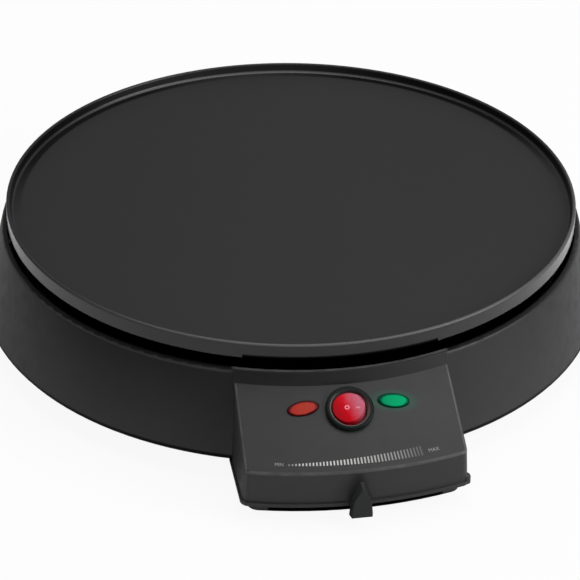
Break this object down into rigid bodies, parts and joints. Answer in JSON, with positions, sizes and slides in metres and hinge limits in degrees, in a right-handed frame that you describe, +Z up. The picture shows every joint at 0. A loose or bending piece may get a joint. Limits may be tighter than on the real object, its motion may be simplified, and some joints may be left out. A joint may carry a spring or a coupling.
{
  "type": "electric crepe maker",
  "caption": "Round electric crepe maker: flat rimmed baking plate over a conical base, sloping control box with rocker switch, lamps and a sliding thermostat lever.",
  "frame": {"origin": "on the table, under the middle of the outline in plan (the plate's axis lies 19.56 mm behind it)", "axes": "+Z up, -Y towards the control box and the user, +X to the user's right"},
  "size_m": [0.3272, 0.3684, 0.07],
  "materials": {
    "nonstick_aluminium": "black non-stick coating, fine grain, satin",
    "black_plastic": "fine moulded texture, matt black",
    "lever_plastic": "heat resistant moulding, matt black",
    "switch_black": "black nylon, satin",
    "rocker_red": "translucent red, glossy",
    "lens_red": "translucent red lens",
    "lens_green": "translucent green lens, lit",
    "holder_white": "natural nylon",
    "neon_glass": "clear glass",
    "sheath_steel": "dull stainless steel",
    "shield_aluminium": "bright rolled sheet",
    "zinc_steel": "zinc plated",
    "tab_brass": "tinned brass",
    "ceramic": "unglazed steatite",
    "foot_rubber": "soft black rubber"
  },
  "bodies": {
    "base": {"baking_plate": "nonstick_aluminium", "base_housing": "black_plastic", "bottom_tray": "black_plastic", "bracket_screws": "zinc_steel", "clip_screws": "zinc_steel", "earth_screw": "zinc_steel", "earth_tag": "tab_brass", "element_clips": "zinc_steel", "element_insulators": "ceramic", "element_tabs": "tab_brass", "foot_front_left": "foot_rubber", "foot_front_right": "foot_rubber", "foot_rear_left": "foot_rubber", "foot_rear_right": "foot_rubber", "fuse_clip": "zinc_steel", "fuse_screw": "zinc_steel", "green_lamp_holder": "holder_white", "green_lens": "lens_green", "green_neon": "neon_glass", "heat_shield": "shield_aluminium", "heating_element": "sheath_steel", "inlet_bush": "black_plastic", "plate_post_left": "zinc_steel", "plate_post_rear": "zinc_steel", "plate_post_right": "zinc_steel", "plate_screws": "zinc_steel", "red_lamp_holder": "holder_white", "red_lens": "lens_red", "red_neon": "neon_glass", "switch_body": "switch_black", "switch_tabs": "tab_brass", "terminal_block": "ceramic", "terminal_screws": "tab_brass", "thermal_fuse": "ceramic", "thermostat_body": "ceramic", "thermostat_bracket": "zinc_steel", "thermostat_tabs": "tab_brass", "tray_screws": "zinc_steel"},
    "lever": {"lever_arm": "lever_plastic", "pointer_knob": "lever_plastic", "thermostat_spindle": "zinc_steel"},
    "rocker": {"switch_rocker": "rocker_red"}
  },
  "joints": [
    {"name": "thermostat_lever", "type": "hinge", "parent": "base", "child": "lever", "pos_m": [0, -0.05544, 0.0059], "axis": [0, 0, 1], "range_deg": [-17.5, 17.5]},
    {"name": "power_rocker", "type": "hinge", "parent": "base", "child": "rocker", "pos_m": [0, -0.1468, 0.04232], "axis": [0.1908, 0.8568, 0.479], "range_deg": [0, 16]}
  ]
}
